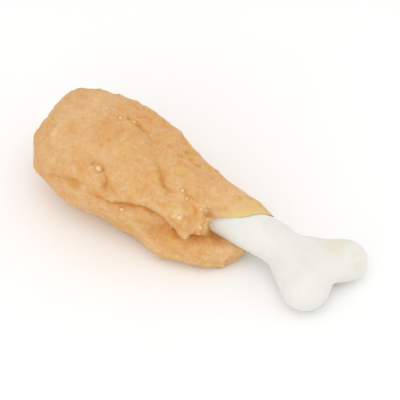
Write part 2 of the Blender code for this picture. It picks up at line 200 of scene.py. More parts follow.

# Where the meat is oranger than the rest: x, angle, reach in mm and strength. Those given by x, y and z,
# in the hollow and on the flap beside the bone, are partly painted shade there.
RUDDY_PLACES = (
    (-9.0, 60, 8.0, 0.2), (-22.0, 52, 8.0, 0.4), (-28.5, 63, 5.0, 0.35), (-13.5, 77, 4.0, 0.5),
    (2.0, 55, 7.0, 0.35), (-14.0, 88, 6.0, 0.3), (-11.0, 126, 5.0, 0.25), (-31.4, 160, 2.0, 0.8),
    (-13.5, 160, 2.2, 0.7), (-9.5, 164, 2.0, 0.4), (-6.5, 174, 3.2, 0.3), (-2.5, -14.3, 12.8, 2.6, 0.6),
    (-0.4, -14.3, 12.1, 2.2, 0.8), (2.0, -15.0, 11.3, 1.8, 0.9), (-2.0, 190, 2.8, 0.4),
    (-0.5, 195, 3.0, 0.5), (5.9, -15.7, 10.0, 1.8, 0.7), (7.2, -13.1, 10.4, 1.9, 0.8),
    (9.0, -9.8, 10.3, 2.0, 0.4), (7.8, -16.8, 8.1, 3.0, 0.25), (2.0, -18.0, 8.6, 2.2, 0.45),
    (12.4, -9.2, 8.9, 2.4, 0.5), (9.9, -11.5, 9.5, 1.8, 0.6), (5.0, -17.6, 8.4, 1.8, 0.4),
    (-12.5, 151, 1.9, 0.6), (4.8, 176, 2.2, 0.3), (-29.5, 143, 3.0, 0.35), (-50.0, 145, 6.0, 0.2),
    (-45.0, 168, 6.0, 0.25), (-33.0, 178, 6.0, 0.2), (9.6, 150, 1.4, 0.6), (6.6, 148, 1.3, 0.6),
    (3.5, 140, 2.2, 0.4), (5.6, 160, 1.6, 0.5), (-8.0, 108, 2.5, 0.4), (-33.0, 128, 3.0, 0.3),
    (-38.0, 105, 2.4, 0.35), (-20.0, 82, 3.5, 0.4), (-4.5, 62, 2.6, 0.6), (-4.6, 76, 1.0, 0.5),
    (-0.3, 71, 2.8, 0.5), (-9.8, 76, 1.5, 0.6), (-7.1, 52, 1.6, 0.5), (3.3, 93, 2.2, 0.4),
    (-28.6, 94, 5.0, 0.45), (-30.0, 345, 9.0, 0.6), (-8.0, 350, 8.0, 0.5), (-45.0, 20, 8.0, 0.5),
    (-15.0, 250, 10.0, 0.5),
)

# Where it is paler, with the same columns: partly pale meat, and partly painted highlights on the bumps
# of the lobes.
PALE_AND_HIGHLIGHT_PLACES = (
    (-43.9, 119, 1.3, 0.9), (-41.0, 148, 1.6, 0.4), (-38.0, 59, 5.0, 0.35), (-39.0, 92, 5.0, 0.25),
    (11.0, 79, 4.0, 0.2), (2.1, 152, 1.4, 0.9), (2.7, 155, 1.6, 1.3), (3.2, 160, 1.4, 1.2),
    (5.4, 185, 1.0, 0.6), (6.8, 189, 1.0, 0.7), (9.4, 165, 1.1, 0.9), (8.9, 178, 0.9, 0.8),
    (8.0, 141, 1.2, 0.6), (-10.5, 190, 3.0, 0.4), (6.0, 207, 2.6, 0.3), (14.0, 205, 3.0, 0.45),
    (16.0, 215, 3.0, 0.45),
)

# Where it is pinker, with the same columns.
PINK_PLACES = (
    (-38.5, 80, 5.0, 0.6), (-36.5, 103, 4.5, 0.7), (-31.0, 123, 4.5, 0.7), (-25.0, 119, 4.5, 0.6),
    (-34.5, 142, 3.0, 0.4),
)

# Small corrections at the notch beside the bone, and between and above the knuckles: x, y and z, how far
# the skin there is drawn along each of them, and the reach of it, in mm.
MEAT_NUDGES = (
    (10.8, -7.1, 16.9, -0.8, -0.1, 0.1, 1.1),
    (9.6, -8.4, 14.0, 0.4, 0.0, 0.0, 1.4),
    (10.6, -8.4, 9.9, -0.2, 0.0, -0.7, 1.5),
    (12.8, -8.2, 8.9, 0.0, 0.0, -0.7, 1.6),
    (15.5, -8.1, 8.2, 0.0, 0.0, -0.4, 1.6),
)
BONE_NUDGES = (
    (52.0, -5.6, 2.4, -0.9, 1.2, 1.0, 3.2),
    (43.0, 4.5, 12.4, 0.3, -0.6, -0.7, 3.0),
)

# Gristle that shows as pale beads: x, angle, width in mm.
BEADS = (
    (-25.0, 135, 2.0), (-27.6, 74, 1.5), (-23.5, 69, 1.3), (-14.9, 168, 1.5), (3.1, 157.5, 2.0),
    (5.5, 185, 1.2), (9.5, 164, 1.3), (7.8, 139, 1.1), (1.0, 123, 1.3), (2.9, 131, 1.0),
    (10.2, 69, 0.8), (-38.6, 165, 0.8), (-12.8, 124, 0.7), (-8.0, 30, 1.0), (-26.0, 15, 1.3),
    (-38.0, 345, 1.1), (-4.0, 320, 1.0), (-50.0, 60, 0.9),
)

# Torn ends of fibre: x and angle of the root, direction along the skin, length and width in mm.
SHREDS = (
    (8.6, 131, 10, 2.6, 0.9), (8.2, 140, -35, 2.2, 0.8), (10.2, 152, 30, 1.8, 0.7),
    (5.2, 188, -70, 1.9, 1.0), (7.6, 183, -40, 1.7, 0.8), (-0.5, 185, -95, 1.8, 0.9),
    (-11.0, 155, -25, 2.0, 0.8), (16.5, 224, 15, 2.2, 1.0), (13.6, 214, -30, 1.9, 0.8),
    (-20.8, 156, -80, 1.6, 0.7), (2.0, 328, -20, 2.2, 0.9), (-18.0, 357, 70, 2.0, 0.8),
    (-36.0, 343, 160, 1.9, 0.8),
)

# How far the sleeve reaches along the bone on the side that shows: angle round the bone, x in mm.
SLEEVE_END = (
    (-70, 17.4), (10, 24.2), (34, 25.6), (63, 23.2), (89, 21.0), (109, 18.4), (138, 12.5), (149, 10.6),
)

# The sleeve's rim: how far back it is thinned, its thickness at the end, how fast that grows from there,
# and its gap to the bone. It shows from one angle round the bone to another, with a fade at each, and it
# is creamy as far back as CREAM_LENGTH.
RIM_LENGTH = 6.0 * MM
RIM_THICKNESS = 0.35 * MM
RIM_SLOPE = 0.26
RIM_GAP = 0.06 * MM
RIM_FROM, RIM_FROM_FADE = -75, 20
RIM_TO, RIM_TO_FADE = 138, 25
CREAM_LENGTH = 6.5 * MM

# Its torn edge: the tears' height, reach, coarse and fine size, and a degree's length on the bone.
TEAR_HEIGHT = 0.35 * MM
TEAR_REACH = 2.5 * MM
TEAR_SIZE = 1.1 * MM
FINE_TEAR_SIZE = 0.45 * MM
DEGREE_ON_BONE = 0.12 * MM

# Places along x: the socket's back end, where its wall fully touches the bone, where the sleeve's outside
# starts to be thinned, and where the mouth's edge starts.
SOCKET_BACK = -20 * MM
SNUG_FROM = 4 * MM
THINNED_FROM = 5 * MM
MOUTH = 8 * MM

# The flap is pressed against the bone's side, where the angle round the bone is less than FLAP_SIDE. Its
# lip by the bone carries a painted shadow, darkest at DARK_LIP_X, and less so over DARK_LIP_REACH to
# either side.
FLAP_SIDE = -95
FLAP_GAP = -0.15 * MM
DARK_LIP_X = 10.5 * MM
DARK_LIP_REACH = 4.0 * MM

# Stains on the bone: x, y and z, reach in mm and strength.
STAINS = (
    (46.9, 2.4, 13.0, 3.6, 1.0),
    (47.3, 5.5, 12.6, 2.8, 1.0),
    (53.4, 3.8, 11.6, 2.0, 0.7),
    (55.0, 2.2, 9.8, 2.0, 0.9),
    (53.8, 1.0, 10.8, 1.4, 0.6),
)

SEED = 7


def linear(code):
    """An sRGB hex colour as linear red, green and blue."""
    shares = [int(code[i : i + 2], 16) / 255 for i in (1, 3, 5)]
    return tuple(s / 12.92 if s <= 0.04045 else ((s + 0.055) / 1.055) ** 2.4 for s in shares)


# --- Settings ---------------------------------------------------------------------------------------


def length_setting(name, description, default, **limits):
    """A length that a user can change."""
    limits |= {"subtype": "DISTANCE", "unit": "LENGTH"}
    return FloatProperty(name=name, description=description, default=default, **limits)


def colour_setting(name, description, code):
    """A colour that a user can change, given as an sRGB hex colour."""
    kind = {"subtype": "COLOR", "size": 3}
    return FloatVectorProperty(name=name, description=description, default=linear(code), **kind)


class MeatSettings(bpy.types.PropertyGroup):
    """Sizes and colours of the dried meat."""

    fineness: length_setting(
        "Fineness", "Distance between neighbouring points of the meat's skin", 0.37 * MM, min=0.3 * MM
    )
    lump_height: length_setting("Lumps", "Height of the broad lumps", 0.3 * MM)
    pebble_height: length_setting("Pebbling", "Height of the pebbled grain of the meat", 0.14 * MM)
    fibre_height: length_setting("Fibres", "Height of the muscle fibres under the grain", 0.10 * MM)
    pink: colour_setting("Pinkish meat", "Colour of the paler meat", "#DFB485")
    tan: colour_setting("Tan meat", "Colour of most of the meat", "#D8A86F")
    # Also laid in the broad hollows and the hollow under the upper layer as painted shade.
    orange: colour_setting("Orange meat", "Colour where the meat has dried the most", "#D68F3D")
    straw: colour_setting("Straw-coloured meat", "Colour of the yellower mottle", "#DCB06A")
    # Also used for painted highlights on the lobes' bumps, and for the points where the skin bulges.
    pale_and_highlight: colour_setting("Pale meat", "Colour of the palest spots and of worn high points", "#ECCB99")
    # Also the colour of the painted shade in the creases, dents and hollows and on the socket's wall,
    # besides a brown mottle.
    brown_and_crease_shade: colour_setting("Creases", "Colour at the bottom of the creases", "#B67B3A")
    cream: colour_setting("Thin rim", "Colour of the thin rim where the bone shows through", "#E1C484")
    gristle: colour_setting("Gristle", "Colour of the beads of gristle", "#F6CA92")


class ScatterSettings(bpy.types.PropertyGroup):
    """Number and size of the crumbs on the meat."""

    crumbs: IntProperty(name="Crumbs", description="How many crumbs lie on the meat", default=420, min=0)
    crumb_size: length_setting("Crumb size", "Width of the largest crumb", 0.75 * MM)


class BoneSettings(bpy.types.PropertyGroup):
    """Sizes and colours of the moulded bone."""

    fineness: length_setting(
        "Fineness", "Distance between neighbouring points of the bone's skin", 0.42 * MM, min=0.3 * MM
    )
    dent_height: length_setting("Dents", "Depth of the shallow dents of the casting", 0.16 * MM)
    white: colour_setting("Bone", "Colour of the bone", "#EAE9E2")
    shade: colour_setting("Greyer bone", "Colour of the slightly greyer patches", "#E3E3DC")
    stain: colour_setting("Stain", "Colour of the stain on the far knuckle", "#E5DEC6")


class StudioSettings(bpy.types.PropertyGroup):
    """Camera, floor and light."""

    camera_place: FloatVectorProperty(
        name="Camera place",
        description="Where the camera stands",
        default=(0.2271, -0.3579, 0.5202),
        subtype="TRANSLATION",
        size=3,
    )
    aim: FloatVectorProperty(
        name="Aim",
        description="The point in the middle of the picture",
        default=(0.0017, 0.0003, 0.0120),
        subtype="TRANSLATION",
        size=3,
    )
    view_angle: FloatProperty(
        name="Field of view",
        description="Angle that the picture takes in",
        default=math.radians(10.6),
        subtype="ANGLE",
        unit="ROTATION",
    )
    roll: FloatProperty(
        name="Roll",
        description="How far the camera is turned about its own axis",
        default=math.radians(-3.2),
        subtype="ANGLE",
        unit="ROTATION",
    )
    floor: colour_setting("Floor", "Colour of the paper that the chew lies on", "#FCFCFB")
    floor_shade: colour_setting("Floor mottle", "Colour of the paper's barely darker patches", "#FAFAF9")
    sky: FloatProperty(
        name="Surrounding light",
        description="Strength of the light from all sides",
        default=0.87,
    )
    key: FloatProperty(
        name="Key light",
        description="Power of the large soft lamp",
        default=1.0,
        subtype="POWER",
        unit="POWER",
    )


class ChewSettings(bpy.types.PropertyGroup):
    """All the settings of the chew."""

    meat: PointerProperty(type=MeatSettings, name="Meat", description="Sizes and colours of the meat")
    scatter: PointerProperty(type=ScatterSettings, name="Crumbs", description="Crumbs on the meat")
    bone: PointerProperty(type=BoneSettings, name="Bone", description="Sizes and colours of the bone")
    studio: PointerProperty(type=StudioSettings, name="Studio", description="Camera, floor and light")


def settings():
    return bpy.context.scene.chew


# --- Handling objects -------------------------------------------------------------------------------

# Points of a CAD node that are this close are one point.
MERGE_DISTANCE = 0.001 * MM


def pick(obj):
    """Makes an object the only selected one, and the active one."""
    bpy.ops.object.select_all(action="DESELECT")
    obj.select_set(True)
    bpy.context.view_layer.objects.active = obj


def apply_modifier(obj, kind, **values):
    pick(obj)
    modifier = obj.modifiers.new(kind.title(), kind)
    for key, value in values.items():
        setattr(modifier, key, value)
    bpy.ops.object.modifier_apply(modifier=modifier.name)


def copy_of_node(node, name):
    """A merged copy of a CAD node, free of the frame."""
    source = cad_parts[node]
    piece = source.copy()
    piece.data = source.data.copy()
    piece.name = name
    piece.parent = None
    for key in [key for key in piece.keys() if key.startswith("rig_")]:
        del piece[key]
    bpy.context.scene.collection.objects.link(piece)
    pick(piece)
    piece.data.materials.clear()
    bpy.ops.object.mode_set(mode="EDIT")
    bpy.ops.mesh.select_all(action="SELECT")
    bpy.ops.mesh.remove_doubles(threshold=MERGE_DISTANCE)
    bpy.ops.object.mode_set(mode="OBJECT")
    bpy.ops.mesh.customdata_custom_splitnormals_clear()
    return piece


def join(objects, name):
    bpy.ops.object.select_all(action="DESELECT")
    for obj in objects:
        obj.select_set(True)
    bpy.context.view_layer.objects.active = objects[0]
    bpy.ops.object.join()
    made = bpy.context.view_layer.objects.active
    made.name = name
    return made


def copies(pattern, places, name):
    """One piece made of copies of a pattern, each put in its place, with the pattern itself removed."""
    made = []
    for place in places:
        copy = pattern.copy()
        copy.data = pattern.data.copy()
        copy.data.transform(place)
        bpy.context.scene.collection.objects.link(copy)
        made.append(copy)
    bpy.data.objects.remove(pattern, do_unlink=True)
    piece = join(made, name)
    pick(piece)
    bpy.ops.object.shade_smooth()
    return piece


# --- Shaping the skin -------------------------------------------------------------------------------

# How fast a pebble rises from its border, and up to which height the skin rests on the floor.
PEBBLE_STEEPNESS = 1.6
RESTING_HEIGHT = 0.1 * MM

# A place on the meat is looked for from this far off the wad's middle line.
OUTSIDE_MM = 60

# Keeps a division from being by nothing.
TINY = 1e-12


def curve_through(rows, steps):
    """Points along a smooth curve through rows of numbers, with some steps between each two rows."""
    rows = np.array(rows, float)
    padded = np.vstack((rows[:1], rows, rows[-1:]))
    t = np.linspace(0, 1, steps, endpoint=False)[:, None]
    parts = []
    for before, start, end, after in zip(padded, padded[1:], padded[2:], padded[3:]):
        leave, arrive = (end - before) / 2, (after - start) / 2
        rise = 3 * (end - start) - 2 * leave - arrive
        bend = 2 * (start - end) + leave + arrive
        parts.append(start + leave * t + rise * t**2 + bend * t**3)
    return np.vstack((*parts, rows[-1:]))


def grain(points, size, offset=0.0):
    """Smooth noise from -1 to 1 at each point, whose lumps are about a size across. The offset only picks
    another part of the noise, so that no two layers match."""
    scaled = points / size + offset
    return np.array([noise.noise(point) for point in scaled])


def pebbles(points, size, offset=0.0):
    """Rounded cells about a size across: 1 in the middle of each and 0 at its border."""
    scaled = points / size + offset
    near = np.array([noise.voronoi(point)[0][:2] for point in scaled])
    return bounded((near[:, 1] - near[:, 0]) * PEBBLE_STEEPNESS)


def bounded(value):
    """The value, held between 0 and 1."""
    return np.clip(value, 0, 1)


def bell(distance, reach):
    """1 where the distance is 0, and about a third of that at the reach."""
    return np.exp(-((distance / reach) ** 2))


def in_metres(numbers_mm):
    return np.array(numbers_mm) * MM


def off_the_floor(points, rise):
    """0 for the points that rest on the floor, and 1 from a rise above it."""
    return bounded((points[:, 2] - RESTING_HEIGHT) / rise)


class Skin:
    """A piece's points and outward directions, for shaping the skin."""

    def __init__(self, obj):
        self.mesh = obj.data
        self.points = np.empty((len(self.mesh.vertices), 3))
        self.mesh.vertices.foreach_get("co", self.points.ravel())
        edges = np.empty((len(self.mesh.edges), 2), int)
        self.mesh.edges.foreach_get("vertices", edges.ravel())
        self.ends = np.concatenate((edges[:, 0], edges[:, 1]))
        self.others = np.concatenate((edges[:, 1], edges[:, 0]))
        self.links = np.bincount(self.ends, minlength=len(self.points))
        self.free = np.ones(len(self.points))
        self.read_normals()

    def read_normals(self):
        self.normals = np.empty((len(self.points), 3))
        self.mesh.vertex_normals.foreach_get("vector", self.normals.ravel())

    def write(self):
        self.mesh.vertices.foreach_set("co", self.points.ravel())
        self.mesh.update()
        self.read_normals()

    def push(self, amount):
        """Moves each point outwards by an amount, as far as it is free to move."""
        self.points += self.normals * (amount * self.free)[:, None]
        self.write()

    def distance_to(self, point):
        return np.linalg.norm(self.points - np.array(point), axis=1)

    def around(self, values):
        """The mean of the neighbours' values at each point."""
        size = len(self.points)
        sums = [np.bincount(self.ends, values[self.others, k], size) for k in range(values.shape[1])]
        return np.stack(sums, 1) / self.links[:, None]

    def hollowness(self, rounds):
        """How far each point lies below the smoothed skin, in metres."""
        smooth = self.points
        for _ in range(rounds):
            smooth = self.around(smooth)
        return ((smooth - self.points) * self.normals).sum(1)

    def tree(self):
        faces = [tuple(face.vertices) for face in self.mesh.polygons]
        return BVHTree.FromPolygons(self.points.tolist(), faces)

    def save_mask(self, name, values):
        """Keeps a value from 0 to 1 for each point, which a material reads by its name."""
        layer = self.mesh.attributes.new(name, "FLOAT", "POINT")
        layer.data.foreach_set("value", bounded(values).astype(np.float32))

    def line_distance(self, route):
        """For each point the distance to a line on the skin, how far along it is, and its side."""
        best = np.full(len(self.points), np.inf)
        along = np.zeros(len(self.points))
        side = np.ones(len(self.points))
        last = len(route) - 1
        for k in range(last):
            start, step = route[k], route[k + 1] - route[k]
            away = self.points - start
            share = bounded(away @ step / max(step @ step, TINY))
            gap = away - share[:, None] * step
            distance = np.linalg.norm(gap, axis=1)
            nearer = distance < best
            best[nearer] = distance[nearer]
            along[nearer] = k + share[nearer]
            turn = (np.cross(step, gap[nearer]) * self.normals[nearer]).sum(1)
            side[nearer] = np.where(turn < 0, -1.0, 1.0)
        return best, along, side


def outward(degrees):
    """The direction straight out from the wad's middle line."""
    angle = math.radians(degrees)
    return Vector((0, math.cos(angle), math.sin(angle)))


def on_meat(tree, x_mm, degrees):
    """The point and the outward direction of the meat's skin at a place, found from well outside it."""
    middle = Vector((x_mm, WAD_MIDDLE_Y_MM, WAD_MIDDLE_Z_MM)) * MM
    start = middle + outward(degrees) * OUTSIDE_MM * MM
    point, normal, _, _ = tree.ray_cast(start, -outward(degrees))
    if point is None:
        raise RuntimeError(f"there is no meat at x {x_mm} mm and {degrees} degrees")
    return point, normal


def spot_on_meat(tree, place):
    """The point of the meat's skin at x and an angle, or nearest to x, y and z, all in mm."""
    if len(place) == 3:
        return tree.find_nearest(Vector(place) * MM)[0]
    return on_meat(tree, *place)[0]


def round_bone(points):
    """Each point's height above the bone's shaft, its angle round it in degrees, and the way from it."""
    axis = np.array(BONE_TIP - BONE_ROOT)
    length = np.linalg.norm(axis)
    along = (points - np.array(BONE_ROOT)) @ axis / length**2
    away = points - np.array(BONE_ROOT) - along[:, None] * axis
    radius = BONE_ROOT_RADIUS + along * (BONE_TIP_RADIUS - BONE_ROOT_RADIUS)
    outside = np.linalg.norm(away, axis=1)
    angle = np.degrees(np.arctan2(away[:, 2], away[:, 1]))
    return outside - radius, angle, away / np.maximum(outside, TINY)[:, None]


# --- The wad of meat --------------------------------------------------------------------------------

# How often the remeshed skin is smoothed, and by which factor.
MEAT_SMOOTHING = {"factor": 0.5, "iterations": 7}

# How far from the socket's wall a point still counts as wall, when the wall is held back and when it is
# laid on the bone, how widely its border is softened, and the height within which the belly is freed.
HELD_WALL = 0.25 * MM
LAID_WALL = 0.3 * MM
BORDER_ROUNDS = 3
BELLY_RISE = 1.2 * MM

# A line in the meat wavers by this much, over this length. Its raised side steps up within this width,
# and its curve has so many steps from each of its points to the next.
WAVER_HEIGHT = 0.35 * MM
WAVER_LENGTH = 1.6 * MM
STEP_WIDTH = 0.5 * MM
CURVE_STEPS = 6

# The moat round a bead of gristle: radius, width and depth as shares of the bead's width, and the
# darkness of the painted shade in it.
MOAT_RADIUS = 0.62
MOAT_WIDTH = 0.22
MOAT_DEPTH = 0.12
MOAT_SHADE = 0.2

# Sizes of the relief on the skin, from lumps to grains. A fibre is seven times as long as it is wide.
LUMP_SIZE = 4.5 * MM
SMALL_LUMP_SIZE = 2.4 * MM
FIBRE_WIDTH = 1.2 * MM
FIBRE_STRETCH = (7.0, 1.0, 1.0)
PEBBLE_SIZE = 1.9 * MM
GRAIN_SIZE = 0.95 * MM

# The skin is smoothed so many times, and a point that lies this deep under that is fully hollow.
FINE_ROUNDS, FINE_DEPTH = 10, 0.2 * MM
BROAD_ROUNDS, BROAD_DEPTH = 60, 0.8 * MM

# The lip of the meat that touches the bone: its height above the bone, and its width.
LIP_HEIGHT = 0.3 * MM
LIP_WIDTH = 0.4 * MM


def free_the_skin(skin):
    """Holds back the socket's wall and the flat belly, so that only the outer skin is shaped."""
    above_bone, _, _ = round_bone(skin.points)
    in_socket = (above_bone < SOCKET_GAP + HELD_WALL) & (skin.points[:, 0] > SOCKET_BACK)
    outer = np.where(in_socket, 0.0, 1.0)
    for _ in range(BORDER_ROUNDS):
        outer = np.minimum(outer, skin.around(outer[:, None])[:, 0])
    skin.free = outer * off_the_floor(skin.points, BELLY_RISE)
    return outer


def press_lines(skin, tree):
    """Presses the creases and the layers' edges into the skin. Returns how dark and orange they are
    painted, partly as painted shade.
    """
    shade_and_brown = np.zeros(len(skin.points))
    warm = np.zeros(len(skin.points))
    waver = WAVER_HEIGHT * grain(skin.points, WAVER_LENGTH, 3.0)
    for line in LINES.values():
        rows = curve_through(line["points"], CURVE_STEPS)
        route = np.array([spot_on_meat(tree, row[:-1]) for row in rows])
        distance, along, side = skin.line_distance(route)
        strength = np.interp(along, np.arange(len(rows)), rows[:, -1])
        signed = distance * side + waver
        depth, width, rise, fade = (line[key] * MM for key in ("depth", "width", "rise", "fade"))
        middle = signed + 0.3 * width
        raised = bounded(signed / STEP_WIDTH + 0.5) * np.exp(-np.maximum(signed, 0) / fade)
        raised *= bell(distance, 3 * fade)
        skin.push(strength * (rise * raised - depth * bell(middle, width)))
        shade_and_brown = np.maximum(shade_and_brown, strength * line["shade_and_brown"] * bell(middle, 0.7 * width))
        warm = np.maximum(warm, strength * line["warm"] * bell(middle, 2.2 * width))
    return shade_and_brown, warm


def press_dents(skin, tree):
    """Presses the dents, and a moat round each bead of gristle. Returns how dark they are painted, as
    painted shade.
    """
    shade_and_brown = np.zeros(len(skin.points))
    for *place, height, reach in DENTS_AND_BUMPS:
        nearness = bell(skin.distance_to(spot_on_meat(tree, place)), reach * MM)
        skin.push(height * MM * nearness)
        if height < 0 and reach < SMALL_DENT_MM:
            shade_and_brown = np.maximum(shade_and_brown, -1.5 * height * nearness)
    for *place, width in BEADS:
        distance = skin.distance_to(spot_on_meat(tree, place))
        moat = bell(distance - MOAT_RADIUS * width * MM, MOAT_WIDTH * width * MM)
        skin.push(-MOAT_DEPTH * width * MM * moat)
        shade_and_brown = np.maximum(shade_and_brown, MOAT_SHADE * moat)
    return shade_and_brown


def thin_the_rim(skin):
    """Tapers the sleeve's end, lays it on the bone and tears it slightly. Returns how near the rim is."""
    above_bone, angle, away = round_bone(skin.points)
    x = skin.points[:, 0]
    ends = np.array(SLEEVE_END)
    back = np.clip(np.interp(angle, ends[:, 0], ends[:, 1]) * MM - x, 0, None)
    shows = bounded((angle - RIM_FROM) / RIM_FROM_FADE) * bounded((RIM_TO - angle) / RIM_TO_FADE)
    close = np.where(x > 0, bounded(1 - back / RIM_LENGTH), 0)
    excess = np.clip(above_bone - RIM_THICKNESS - RIM_SLOPE * back, 0, None)
    over = excess * shows * bounded(close * 3)
    wall = above_bone < SOCKET_GAP + LAID_WALL
    gap = np.where(angle < FLAP_SIDE, FLAP_GAP, RIM_GAP)
    under = np.clip(above_bone - gap, 0, SOCKET_GAP - gap) * bounded(x / SNUG_FROM)
    skin.points -= away * np.where(wall, under, np.where(x > THINNED_FROM, over, 0))[:, None]
    around = np.stack((angle * DEGREE_ON_BONE, back * 0, back * 0), 1)
    tears = grain(around, TEAR_SIZE, 9.0) + 0.6 * grain(around, FINE_TEAR_SIZE, 4.0)
    at_mouth = x > MOUTH
    skin.points[:, 0] += TEAR_HEIGHT * tears * bounded(1 - back / TEAR_REACH) * at_mouth
    skin.write()
    return bounded(1 - back / CREAM_LENGTH) * shows * at_mouth


def roughen(skin, look):
    """Gives the skin its lumps, muscle fibres and pebbled grain."""
    along_fibres = skin.points / np.array(FIBRE_STRETCH)
    skin.push(look.lump_height * grain(skin.points, LUMP_SIZE))
    skin.push(0.7 * look.lump_height * grain(skin.points, SMALL_LUMP_SIZE, 6.0))
    skin.push(look.fibre_height * grain(along_fibres, FIBRE_WIDTH, 5.0))
    skin.push(look.pebble_height * (pebbles(skin.points, PEBBLE_SIZE, 2.0) - 0.7))
    skin.push(0.6 * look.pebble_height * grain(skin.points, GRAIN_SIZE, 8.0))


def nudge(skin, rows):
    """Draws the skin a little way along x, y and z near a few places."""
    for row in rows:
        centre, shift, reach = in_metres(row[:3]), in_metres(row[3:6]), row[6] * MM
        skin.points += bell(skin.distance_to(centre), reach)[:, None] * shift
    skin.write()


def keep_in_box(skin, node):
    low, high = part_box(node)
    skin.points = np.clip(skin.points, np.array(low), np.array(high))
    skin.write()


def painted(skin, rows, find_point):
    """A mask of soft round patches, each given by a place, its reach in mm and its strength."""
    mask = np.zeros(len(skin.points))
    for *place, reach, strength in rows:
        mask = np.maximum(mask, strength * bell(skin.distance_to(find_point(place)), reach * MM))
    return mask


def save_meat_masks(skin, tree, outer, shade_and_brown, warm):
    """Saves where the meat is brown or darkened by painted shade in its creases, paler where it bulges,
    orange, pale or painted with highlights, and pinkish.
    """
    fine = skin.hollowness(FINE_ROUNDS) / FINE_DEPTH
    broad = skin.hollowness(BROAD_ROUNDS) / BROAD_DEPTH
    x = skin.points[:, 0]
    above_bone, angle, _ = round_bone(skin.points)
    lip = bell(above_bone - LIP_HEIGHT, LIP_WIDTH) * (x > MOUTH)
    on_flap = angle < FLAP_SIDE
    # Painted shade on the socket's wall behind the mouth, and a painted shadow on the flap's lip where it
    # meets the bone.
    shaded = 0.5 * (1 - outer) * (x < MOUTH)
    shaded += 0.9 * lip * on_flap * bell(x - DARK_LIP_X, DARK_LIP_REACH)
    orange, pale_and_highlight, pinkish = (
        painted(skin, rows, lambda place: spot_on_meat(tree, place))
        for rows in (RUDDY_PLACES, PALE_AND_HIGHLIGHT_PLACES, PINK_PLACES)
    )
    # Brown and painted shade in the lines and dents, painted shade in the fine hollows, and the painted
    # shadow on the socket's wall and the flap's lip.
    skin.save_mask("brown_and_crease_shade", shade_and_brown * outer + bounded(fine) * 0.25 + shaded)
    # Paler where the skin bulges above its smoothed shape.
    skin.save_mask("bulging", bounded(-fine) * 0.5 + bounded(-broad) * 0.4)
    # Orange patches, orange beside the lines, and orange in the broad hollows, where it is painted shade.
    skin.save_mask("ruddy", np.maximum(orange, warm) + bounded(broad) * 0.3)
    # Pale spots, partly painted highlights on the lobes' bumps, and a pale lip where the sleeve meets the
    # bone.
    skin.save_mask("pale_and_highlight", np.maximum(pale_and_highlight, 0.9 * lip * ~on_flap))
    skin.save_mask("pinkish", pinkish)


def make_wad():
    look = settings().meat
    wad = copy_of_node("meat", "meat_wad")
    apply_modifier(wad, "REMESH", mode="VOXEL", voxel_size=look.fineness)
    apply_modifier(wad, "SMOOTH", **MEAT_SMOOTHING)
    skin = Skin(wad)
    outer = free_the_skin(skin)
    tree = skin.tree()
    shade_and_brown, warm = press_lines(skin, tree)
    shade_and_brown = np.maximum(shade_and_brown, press_dents(skin, tree))
    roughen(skin, look)
    rim = thin_the_rim(skin)
    nudge(skin, MEAT_NUDGES)
    keep_in_box(skin, "meat")
    save_meat_masks(skin, tree, outer, shade_and_brown, warm)
    skin.save_mask("thin_rim", rim)
    pick(wad)
    bpy.ops.object.shade_smooth()
    return wad


# --- Beads, crumbs and shreds on the meat -----------------------------------------------------------

# How deep a bead and a crumb sit in the skin, as a share of their width, and how high a shred is.
BEAD_SINK = 0.18
CRUMB_SINK = 0.1
SHRED_HEIGHT_MM = 0.9

# Where crumbs lie: from and to x in mm, and from and to the angle round the wad.
CRUMBS_ALONG = (-54, 14)
CRUMBS_ROUND = (-40, 220)


def wad_tree():
    return Skin(bpy.data.objects["meat_wad"]).tree()


def lay_on(point, normal, turn):
    """A matrix that lays something on the skin with its z outwards, turned about it by an angle."""
    upright = normal.to_track_quat("Z", "X").to_matrix().to_4x4()
    return Matrix.Translation(point) @ upright @ Matrix.Rotation(turn, 4, "Z")


def bead_pattern():
    """A lumpy bead, 1 across and flatter than it is wide."""
    bpy.ops.mesh.primitive_ico_sphere_add(subdivisions=2, radius=0.5, location=(0, 0, 0))
    bead = bpy.context.view_layer.objects.active
    bpy.ops.object.mode_set(mode="EDIT")
    bpy.ops.mesh.select_all(action="SELECT")
    bpy.ops.transform.resize(value=(1.0, 0.8, 0.6))
    bpy.ops.transform.vertex_random(offset=0.09, seed=SEED)
    bpy.ops.object.mode_set(mode="OBJECT")
    apply_modifier(bead, "SUBSURF", levels=1, render_levels=1)
    return bead


def crumb_pattern():
    """A small angular crumb, 1 across."""
    bpy.ops.mesh.primitive_cube_add(size=0.62, location=(0, 0, 0))
    crumb = bpy.context.view_layer.objects.active
    bpy.ops.object.mode_set(mode="EDIT")
    bpy.ops.mesh.select_all(action="SELECT")
    bpy.ops.mesh.subdivide(number_cuts=1)
    bpy.ops.transform.tosphere(value=0.7)
    bpy.ops.transform.vertex_random(offset=0.07, seed=SEED + 1)
    bpy.ops.transform.resize(value=(1.0, 0.8, 0.55))
    bpy.ops.object.mode_set(mode="OBJECT")
    return crumb


def shred_pattern():
    """A torn strip that narrows and lifts towards its end, 1 long with its root at the origin."""
    bpy.ops.mesh.primitive_cube_add(size=1.0, location=(0, 0, 0), scale=(0.3, 1.0, 0.35))
    shred = bpy.context.view_layer.objects.active
    bpy.ops.object.mode_set(mode="EDIT")
    for width, lift in ((0.9, 0.02), (0.65, 0.05), (0.35, 0.10)):
        select_end(shred)
        bpy.ops.mesh.extrude_region_move(TRANSFORM_OT_translate={"value": (0.25, 0.04, lift)})
        bpy.ops.transform.resize(value=(1.0, width, 0.8))
    bpy.ops.object.mode_set(mode="OBJECT")
    apply_modifier(shred, "SUBSURF", levels=2, render_levels=2)
    return shred


